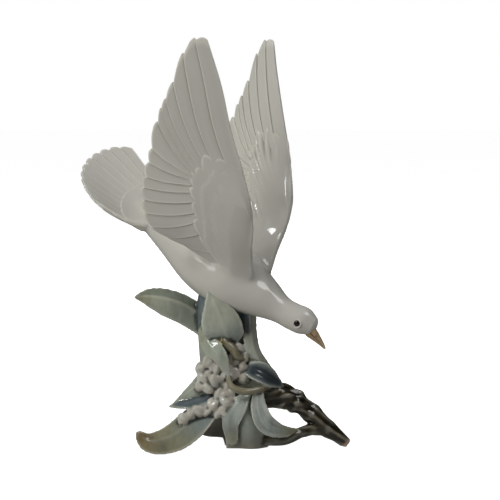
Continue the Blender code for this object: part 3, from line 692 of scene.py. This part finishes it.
def base_forms():
    """All that the base is made of: the stump, its leaves and buds, the branch and its fork, and two twigs."""
    yield stump_skin()
    for shape in LEAVES.values():
        yield leaf(**shape)
    for number, (middle, size) in enumerate(BUDS, 1):
        yield bud(middle, size, number)
    branch = [(20, -8, 38), (40, -10, 36.8), (50, -10, 36), (59.5, -10, 31.5), (69.5, -10, 24), (81, -10, 12.5),
              (95, -10, 1.5)]
    fork = [(86, -10, 10), (72, -12, 13), (61, -14, 11), (48, -17, 7.5), (24, -12, 7)]
    yield tube(branch, BRANCH_RADIUS * np.array([1, 1.1, 1.12, 0.9, 0.82, 0.72, 0.45]), 0.12, around=72, count=220,
               knots=((0.47, 1.3), (0.66, 1), (0.83, 0.9)), tip="#c79a80")
    yield tube(fork, BRANCH_RADIUS * np.array([0.5, 0.6, 0.5, 0.65, 0.8]), 0.07, shades=FORK_SHADES)
    for twig, radii in (
        ([(8, -24, 54), (11, -28, 47), (20, -30, 44), (29, -27, 44.5), (38, -20, 46)], [0.8, 1, 1.1, 1, 1]),
        ([(3, -21, 80), (11, -22, 74), (15, -22, 68), (23, -17, 65)], [1, 1.3, 1.1, 0.8]),
    ):
        yield tube(twig, TWIG_RADIUS * np.array(radii), 0.05, shades=TWIG_SHADES)


def plain_mesh(name, points, triangles, marks):
    """A smooth mesh from drawn millimetres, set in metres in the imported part's frame, its marks as point attributes."""
    mesh = bpy.data.meshes.new(name)
    mesh.vertices.add(len(points))
    mesh.vertices.foreach_set("co", ((points - MIDDLE) * MM).ravel())
    mesh.loops.add(triangles.size)
    mesh.loops.foreach_set("vertex_index", triangles.ravel().astype(np.int32))
    mesh.polygons.add(len(triangles))
    mesh.polygons.foreach_set("loop_start", np.arange(0, triangles.size, 3, dtype=np.int32))
    mesh.update(calc_edges=True)
    mesh.shade_smooth()
    for mark, values in marks.items():
        set_mark(mesh, mark, values)
    return mesh


def set_mark(mesh, name, values):
    """Writes one value, or one colour, for each point of the mesh."""
    if values.ndim == 1:
        mesh.attributes.new(name, "FLOAT", "POINT").data.foreach_set("value", values.astype(np.float32))
    else:
        full = np.concatenate([values, np.ones((len(values), 1))], axis=1).astype(np.float32)
        mesh.color_attributes.new(name, "FLOAT_COLOR", "POINT").data.foreach_set("color", full.ravel())


def joined(forms, plain):
    """The forms as one set of points, triangles and marks, a mark that a form lacks taking its plain value."""
    points, triangles, marks, start = [], [], {name: [] for name in plain}, 0
    for form_points, form_triangles, form_marks in forms:
        corners = form_points[form_triangles]
        outward = np.linalg.det(corners - form_points.mean(axis=0)).sum() > 0
        triangles.append((form_triangles if outward else form_triangles[:, ::-1]) + start)
        points.append(form_points)
        start += len(form_points)
        for name, value in plain.items():
            count = (len(form_points),) + np.shape(value)
            marks[name].append(form_marks.get(name, np.broadcast_to(value, count)))
    marks = {name: np.concatenate(parts) for name, parts in marks.items()}
    return np.concatenate(points), np.concatenate(triangles), marks


def put(name, mesh):
    thing = bpy.data.objects.new(name, mesh)
    bpy.context.scene.collection.objects.link(thing)
    return thing


def given(thing, **settings):
    """The thing, with its settings made."""
    for key, value in settings.items():
        setattr(thing, key, value)
    return thing


def modified(name, mesh, kind, **settings):
    """The mesh as a modifier leaves it, as new data."""
    thing = put(name, mesh)
    given(thing.modifiers.new(name, kind), **settings)
    graph = bpy.context.evaluated_depsgraph_get()
    made = bpy.data.meshes.new_from_object(thing.evaluated_get(graph), depsgraph=graph)
    bpy.data.objects.remove(thing)
    return made


# The grid steps that the two fused skins are made on.
BIRD_VOXEL = 0.8
BASE_VOXEL = 0.845
# Softening: a fill step's pull, and how far a round draws each point in and then pushes it back, so nothing shrinks.
FILL = 0.6
DRAW, PUSH = 0.52, 0.54
# The low arch through the foot: how high, its middle along X, and how far from it the sides begin and end.
ARCH_HEIGHT = 6.5
ARCH_MIDDLE = -6.5
ARCH_SIDES = (10.4, 12.6)


def read(items, key, width, kind=float):
    """One value from each of a mesh's items, as rows of the given width."""
    values = np.empty(len(items) * width, kind)
    items.foreach_get(key, values)
    return values.reshape(-1, width)


def fused(name, forms, voxel, plain, firm_rounds=2, soft_rounds=0, fill_rounds=0):
    """One seamless skin over overlapping forms, as slip joins the parts of a casting, softened where forms meet.

    The skin takes its marks from the nearest place on the forms, and gets two marks of its own from how far it lies
    below or above its own blurred shape: rim, a pale mark on edges that is thin glaze and a painted highlight, and
    pool, a dark mark that is gathered glaze and painted shade in fine corners, and painted shade in broad hollows.
    Where forms have the mark firm, only firm_rounds of the softening reach them.
    """
    source = put(name + "_forms", plain_mesh(name + "_forms", *joined(forms, plain)))
    mesh = modified(name + "_shell", source.data, "REMESH", mode="VOXEL", voxel_size=voxel * MM)
    for mark in plain:
        mesh.color_attributes.new(mark, "FLOAT_COLOR", "POINT")
    mesh = modified(name + "_carrier", mesh, "DATA_TRANSFER", object=source, use_vert_data=True,
                    data_types_verts={"COLOR_VERTEX"}, vert_mapping="POLYINTERP_NEAREST")
    bpy.data.objects.remove(source)
    mesh.name = name
    count = len(mesh.vertices)
    points = read(mesh.vertices, "co", 3) / MM
    a, b = read(mesh.edges, "vertices", 2, np.int32).T
    degree = np.bincount(a, minlength=count) + np.bincount(b, minlength=count)

    def middles(values):
        total = [np.bincount(a, v[b], count) + np.bincount(b, v[a], count) for v in values.T]
        return np.stack(total, -1) / degree[:, None]

    soft = np.ones((count, 1))
    if "firm" in plain:
        soft = 1 - read(mesh.attributes["firm"].data, "color", 4, np.float32)[:, :1].astype(float)

    def normals():
        mesh.vertices.foreach_set("co", (points * MM).ravel())
        mesh.update()
        return read(mesh.vertices, "normal", 3)

    # Slip fills the corners where forms meet, and never wears down what stands up.
    for _ in range(fill_rounds):
        out = normals()
        for _ in range(12):
            lift = ((middles(points) - points) * out).sum(axis=1, keepdims=True)
            points = points + FILL * soft * np.maximum(lift, 0) * out
    for rounds, weight in ((firm_rounds, 1), (soft_rounds, soft)):
        for _ in range(rounds):
            points = points + DRAW * weight * (middles(points) - points)
            points = points - PUSH * weight * (middles(points) - points)
    # The foot stands flat on the ground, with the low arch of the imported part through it.
    arch = ARCH_HEIGHT * fall(np.abs(points[:, 0] - ARCH_MIDDLE + MIDDLE[0]), *ARCH_SIDES)
    points[:, 2] = np.maximum(points[:, 2], arch)
    out = normals()
    blurred, hollows = points, []
    for rounds in (7, 33):
        for _ in range(rounds):
            blurred = middles(blurred)
        hollows.append(((blurred - points) * out).sum(axis=1))
    fine, broad = middles(middles(np.stack(hollows, -1))).T
    # Painted shade in corners and hollows, with gathered glaze, and a painted highlight on edges, with thin glaze.
    set_mark(mesh, "pool", np.maximum(ease(fine, 0.02, 0.24), 0.75 * ease(broad, 0.15, 1.5)))
    set_mark(mesh, "rim", ease(-fine, 0.07, 0.36))
    mesh.shade_smooth()
    return mesh


def beak_skin():
    """The bill: a taper that bends down at its point, the gape a fine groove along each side, with a raised cere."""
    t = np.linspace(0, 1, 100)
    bend = BEAK_AIM - 0.20 * t ** 2
    step = BEAK_LENGTH / (len(t) - 1)
    ahead = BEAK_ROOT[0] + np.cumsum(np.cos(bend)) * step
    height = BEAK_ROOT[1] + np.cumsum(np.sin(bend)) * step
    centre = ahead[:, None] * AHEAD + height[:, None] * UP
    lift = -np.sin(bend)[:, None] * AHEAD + np.cos(bend)[:, None] * UP
    radius = BEAK_RADIUS * (1 - 0.82 * np.clip((t - 0.26) / 0.74, 0, 1))
    turn = circle(90)
    over = np.sin(turn)
    line = bump(over - 0.05, 0.11) * fall(t, 0.9, 0.99)[:, None]
    cere = bump(t - 0.44, 0.07)[:, None] * bump(over - 0.62, 0.28)
    nostril = bump(t - 0.50, 0.035)[:, None] * bump(over - 0.45, 0.14)
    tip = np.sqrt(np.clip((1 - t) / 0.05, 0.05, 1))[:, None]
    grown = radius[:, None] * (1 - 0.13 * line + 0.10 * cere - 0.12 * nostril) * tip
    rings = rings_on(centre, LEFT[None], 0.80 * grown * np.cos(turn), lift, grown * np.sin(turn))
    return skin(rings, pool=np.maximum(line, nostril), rim=0 * line + ease(t, 0.6, 1)[:, None])


def dome(centre, radii, axes, **marks):
    """An ellipsoid: its radii along three axes, its poles along the last. A mark is worked out from the polar angle."""
    b = np.linspace(0.02, math.pi - 0.02, 40)[:, None]
    a = circle(60)
    ball = grid_of(np.sin(b) * np.cos(a), np.sin(b) * np.sin(a), np.cos(b))
    return skin((ball * radii) @ np.asarray(axes) + centre, **{k: v(b) + 0 * a for k, v in marks.items()})


def ring(centre, radius, thick, axes):
    """A rolled ring lying across the last of three axes."""
    rows, around = 48, 20
    a = circle(rows)[:, None]
    b = circle(around)
    out = radius + thick * np.cos(b)
    local = grid_of(out * np.cos(a), out * np.sin(a), 0.8 * thick * np.sin(b))
    points = (local @ np.asarray(axes) + centre).reshape(-1, 3)
    return points, grid_triangles(rows + 1, around, wrap=True) % len(points), {}


def plug(tree, socket, value):
    """Links a node's output into the socket, or sets the socket to a plain value or a hex code's colour."""
    if isinstance(value, bpy.types.NodeSocket):
        tree.links.new(value, socket)
    else:
        socket.default_value = (*linear(value), 1.0) if isinstance(value, str) else value


def add(tree, kind, inputs=(), **settings):
    """One node with its settings, its inputs set to values or linked to other nodes' outputs."""
    node = given(tree.nodes.new(kind), **settings)
    for socket, value in dict(inputs).items():
        plug(tree, node.inputs[socket], value)
    return node


def mark(tree, name):
    return add(tree, "ShaderNodeAttribute", attribute_name=name, attribute_type="GEOMETRY").outputs


def blend(tree, factor, a, b, how="MIX"):
    """Colour a going over to b by the factor, or multiplied by it."""
    return add(tree, "ShaderNodeMix", {0: factor, 6: a, 7: b}, data_type="RGBA", blend_type=how).outputs[2]


def times(tree, a, b):
    return add(tree, "ShaderNodeMath", {0: a, 1: b}, operation="MULTIPLY").outputs[0]


def by_mark(tree, name, weight, colour, code):
    """The colour going over to another where the forms' mark is high."""
    return blend(tree, times(tree, mark(tree, name)["Fac"], weight), colour, code)


def noise(tree, where, size_mm, detail=2.0, rough=0.5):
    """Noise whose blotches are about size_mm across, in the object's own metres."""
    inputs = {"Vector": where, "Scale": 1 / (size_mm * MM), "Detail": detail, "Roughness": rough}
    return add(tree, "ShaderNodeTexNoise", inputs).outputs["Fac"]


def spread(tree, value, low, high, top=1.0):
    """The value from low to high as 0 to top."""
    return add(tree, "ShaderNodeMapRange", {"Value": value, 1: low, 2: high, 4: top}).outputs[0]


def ripple(tree, height, strength, distance_mm):
    """The surface's normal, tilted by a fine unevenness."""
    inputs = {"Height": height, "Strength": strength, "Distance": distance_mm * MM}
    return add(tree, "ShaderNodeBump", inputs).outputs[0]


def new_material(name):
    made = bpy.data.materials.new(name)
    made.use_nodes = True
    tree = made.node_tree
    tree.nodes.clear()
    shader = add(tree, "ShaderNodeBsdfPrincipled")
    add(tree, "ShaderNodeOutputMaterial", {"Surface": shader.outputs[0]})
    return made, tree, shader, add(tree, "ShaderNodeTexCoord").outputs["Object"]


def settle(tree, shader, **inputs):
    """Sets the shader's inputs, with _ for each blank in a name."""
    for socket, value in inputs.items():
        plug(tree, shader.inputs[socket.replace("_", " ")], value)


def white_glaze():
    # Clear glaze over white porcelain: soft white body under a hard wet shine. The paler rims are thin glaze and a
    # painted highlight, the greyer hollows gathered glaze and painted shade.
    made, tree, shader, where = new_material("clear_glaze_on_white_porcelain")
    colour = blend(tree, noise(tree, where, 38.0), "#dedcd3", "#e6e4dc")
    colour = by_mark(tree, "pool", 0.75, colour, "#a19d90")
    colour = by_mark(tree, "rim", 0.80, colour, "#f7f4ea")
    uneven = ripple(tree, noise(tree, where, 15.0, 1.0), 0.22, 1.2)
    settle(tree, shader, Base_Color=colour, Roughness=0.30, Specular_IOR_Level=0.25, Coat_Weight=1.0,
           Coat_Roughness=0.03, Coat_IOR=1.5, Coat_Normal=uneven)
    return made


def coloured_glaze():
    # Coloured glazes fired over the base: they run and cloud. The folds are darker with gathered glaze and painted
    # shade, and the rims paler with thin glaze and a painted highlight.
    made, tree, shader, where = new_material("run_coloured_glazes_on_porcelain")
    tint = mark(tree, "tint")["Color"]
    run = add(tree, "ShaderNodeMapping", {"Vector": where, "Scale": (1.0, 1.0, 0.45)}).outputs[0]
    cloud = spread(tree, noise(tree, run, 14.0, 4.0, 0.6), 0.42, 0.72)
    fleck = spread(tree, noise(tree, run, 3.0, 3.0, 0.6), 0.45, 0.8, 0.35)
    colour = blend(tree, cloud, tint, blend(tree, 1.0, tint, "#c3c8c8", "MULTIPLY"))
    colour = blend(tree, fleck, colour, blend(tree, 1.0, tint, "#dcd6c0", "MULTIPLY"))
    colour = by_mark(tree, "pool", 0.85, colour, blend(tree, 1.0, colour, "#585c58", "MULTIPLY"))
    colour = by_mark(tree, "rim", 0.55, colour, blend(tree, 0.55, tint, "#cfd0c3"))
    uneven = ripple(tree, noise(tree, where, 9.0), 0.3, 1.0)
    settle(tree, shader, Base_Color=colour, Roughness=0.32, Specular_IOR_Level=0.3, Coat_Weight=1.0,
           Coat_Roughness=0.04, Coat_IOR=1.5, Coat_Normal=uneven, Normal=uneven)
    return made


def bill_stain():
    # Unglazed stained biscuit: a dry brown-pink with a darker gape and a pale worn point.
    made, tree, shader, where = new_material("matt_brown_stain_on_biscuit")
    colour = blend(tree, noise(tree, where, 2.5, 4.0, 0.6), "#a08767", "#c4aa89")
    colour = by_mark(tree, "pool", 0.9, colour, "#43342a")
    colour = by_mark(tree, "rim", 0.4, colour, "#d6c5a4")
    grain = ripple(tree, noise(tree, where, 0.8, 3.0), 0.3, 0.2)
    settle(tree, shader, Base_Color=colour, Roughness=0.48, Specular_IOR_Level=0.4, Normal=grain)
    return made


def eye_enamel():
    # Glossy painted eye: near-black pupil that fades to a dark brown rim.
    made, tree, shader, where = new_material("glossy_black_and_brown_enamel")
    colour = blend(tree, mark(tree, "rim")["Fac"], "#0c0a09", "#5a3a22")
    colour = blend(tree, times(tree, noise(tree, where, 0.6), 0.4), colour, "#1b1310")
    settle(tree, shader, Base_Color=colour, Roughness=0.12, Coat_Weight=1.0, Coat_Roughness=0.02)
    return made


def finish_piece(thing, finish):
    thing.data.materials.clear()
    thing.data.materials.append(finish)
    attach(thing, "root")


def firmness(points):
    """How far wing and tail skins keep their shape where they are softened: not near the body, fully away from it."""
    ahead, up = points @ AHEAD, points[:, 2]
    line = BODY_LINE[:, :2]
    gap = np.sqrt(((np.stack([ahead, up], -1)[:, None] - along(line, np.linspace(0, 1, 40))[None]) ** 2).sum(-1)).min(1)
    away = np.maximum(ease(gap, 18, 42), ease(np.abs(points @ LEFT), 20, 34))
    return np.repeat(away[:, None], 3, axis=1)


def face_dome():
    """The face, which closes the body's last section with half an oval of the same width and depth."""
    ahead, up, half_width, half_depth = BODY_LINE[-1]
    run = unit(BODY_LINE[-1, :2] - BODY_LINE[-2, :2])
    forward, lift = run[0] * AHEAD + run[1] * UP, run[0] * UP - run[1] * AHEAD
    return dome(ahead * AHEAD + up * UP - 0.3 * forward, (half_width, FACE_BULGE, half_depth), (LEFT, forward, lift))


def build():
    """The eight pieces that show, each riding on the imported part."""
    white, glaze, bill, enamel = white_glaze(), coloured_glaze(), bill_stain(), eye_enamel()

    def piece(name, forms, finish, rim=0.0):
        finish_piece(put(name, plain_mesh(name, *joined(forms, {"rim": rim, "pool": 0.0}))), finish)

    skins = [body_skin(), face_dome(), tail_coverts(), coverts(-1), coverts(1)]
    for points, _, marks in skins[2:]:
        marks["firm"] = firmness(points)
    bird = put("bird", fused("bird", skins, BIRD_VOXEL, {"firm": np.zeros(3)}, soft_rounds=10, fill_rounds=8))
    finish_piece(bird, white)
    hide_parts("dove_statue")
    piece("flight_feathers_right", [feathers(-1)], white)
    piece("flight_feathers_left", [feathers(1)], white)
    piece("tail_feathers", [tail_feathers()], white)
    base = fused("stump_and_leaves", list(base_forms()), BASE_VOXEL, {"tint": linear("#8c968f")})
    finish_piece(put("stump_and_leaves", base), glaze)
    piece("beak", [beak_skin()], bill)
    eyes, lids, axes = [], [], (AHEAD, UP, LEFT)
    for side in (-1, 1):
        middle = EYE_PLACE[0] * AHEAD + EYE_PLACE[1] * UP + side * EYE_PLACE[2] * LEFT
        eyes.append(dome(middle, EYE_RADII, axes, rim=lambda b: ease(np.sin(b), 0.72, 0.95)))
        lids.append(ring(middle + side * LID_OUT * LEFT, LID_RADIUS, LID_THICK, axes))
    piece("eyes", eyes, enamel)
    # The lids carry the rim mark all over: thin glaze and painted highlight.
    piece("eyelids", lids, white, rim=1.0)


# The studio's soft boxes, all aimed at AIM: place, size in metres, watts, colour, and whether the glaze mirrors it.
AIM = Vector((0.0, 0.0, 0.15))
LIGHTS = {
    "key_softbox_left": ((-1.00, -1.00, 0.45), (0.7, 0.9), 5.6, "#fffdf6", False),
    "left_window": ((-1.05, -0.95, 0.50), (0.28, 0.36), 0.9, "#ffffff", True),
    "key_window": ((-0.85, -0.55, 1.10), (0.24, 0.32), 3.6, "#ffffff", True),
    "left_panel": ((-1.45, 0.20, 0.30), (0.8, 0.8), 2.0, "#ffffff", False),
    "back_panel": ((-0.20, 1.50, 0.70), (2.0, 1.6), 20.0, "#ffffff", False),
    "back_right_panel": ((0.60, 0.60, 1.30), (0.8, 0.8), 2.2, "#ffffff", False),
    "right_softbox": ((0.70, -0.55, 1.20), (0.70, 0.55), 4.6, "#ffffff", True),
}

# The camera, in drawn millimetres: what it looks at, how far away and how steeply from above, and the photograph's
# scale there, in millimetres for each of its pixels.
CAMERA_TARGET = np.array([23.9, 0.0, 142.5])
CAMERA_DISTANCE = 1300.0
CAMERA_SLOPE = math.radians(6.0)
PICTURE_WIDTH = 500 * 0.7255
SENSOR = 36.0


def area_light(name, place, size, watts, colour, mirrored):
    data = given(bpy.data.lights.new(name, "AREA"), shape="RECTANGLE", size=size[0], size_y=size[1], energy=watts,
                 color=linear(colour))
    given(put(name, data), location=place, visible_camera=False, visible_glossy=mirrored,
          rotation_euler=(AIM - Vector(place)).to_track_quat("-Z", "Y").to_euler())


def flat_sheet(name, half, height, finish, **inputs):
    """A square sheet on the table, seen or felt as light but casting no shadow."""
    corners = np.array([[-half, -half, height], [half, -half, height], [half, half, height], [-half, half, height]])
    thing = put(name, plain_mesh(name, corners, np.array([[2, 1, 0], [3, 2, 0]]), {}))
    made = bpy.data.materials.new(finish)
    made.use_nodes = True
    settle(made.node_tree, made.node_tree.nodes["Principled BSDF"], Specular_IOR_Level=0.0, **inputs)
    thing.data.materials.append(made)
    thing.visible_shadow = False
    return thing


def studio():
    """A white floor without a horizon, in a white room that only the camera sees, with soft boxes round the figure."""
    # The floor takes a faint shadow and glows, so that it comes out nearly as white as the room.
    floor = flat_sheet("floor", 6000.0, -0.3, "white_paper_sweep", Base_Color=(0.8, 0.8, 0.8, 1.0), Roughness=0.9,
                       Emission_Color="#ffffff", Emission_Strength=0.985)
    given(floor, visible_diffuse=False, visible_glossy=False)
    # A dim card on the table sends soft light up under the wings and belly.
    card = flat_sheet("bounce_card", 700.0, -0.8, "grey_card_in_studio_light", Base_Color=(0.0, 0.0, 0.0, 1.0),
                      Roughness=1.0, Emission_Color=(1.0, 0.98, 0.94, 1.0), Emission_Strength=0.20)
    card.visible_camera = False
    scene = bpy.context.scene
    world = bpy.data.worlds.new("white_room")
    world.use_nodes = True
    settle(world.node_tree, world.node_tree.nodes["Background"], Color=(1.0, 1.0, 1.0, 1.0), Strength=1.0)
    given(world.cycles_visibility, diffuse=False, glossy=False)
    scene.world = world
    for name, light in LIGHTS.items():
        area_light(name, *light)
    away = CAMERA_DISTANCE * np.array([0.0, math.cos(CAMERA_SLOPE), -math.sin(CAMERA_SLOPE)])
    lens = given(bpy.data.cameras.new("camera"), sensor_width=SENSOR, lens=SENSOR * CAMERA_DISTANCE / PICTURE_WIDTH,
                 clip_end=100.0)
    scene.camera = given(put("camera", lens), location=(CAMERA_TARGET - MIDDLE - away) * MM,
                         rotation_euler=(math.radians(90.0) - CAMERA_SLOPE, 0.0, 0.0))
    scene.view_settings.view_transform = "Standard"


build()
studio()
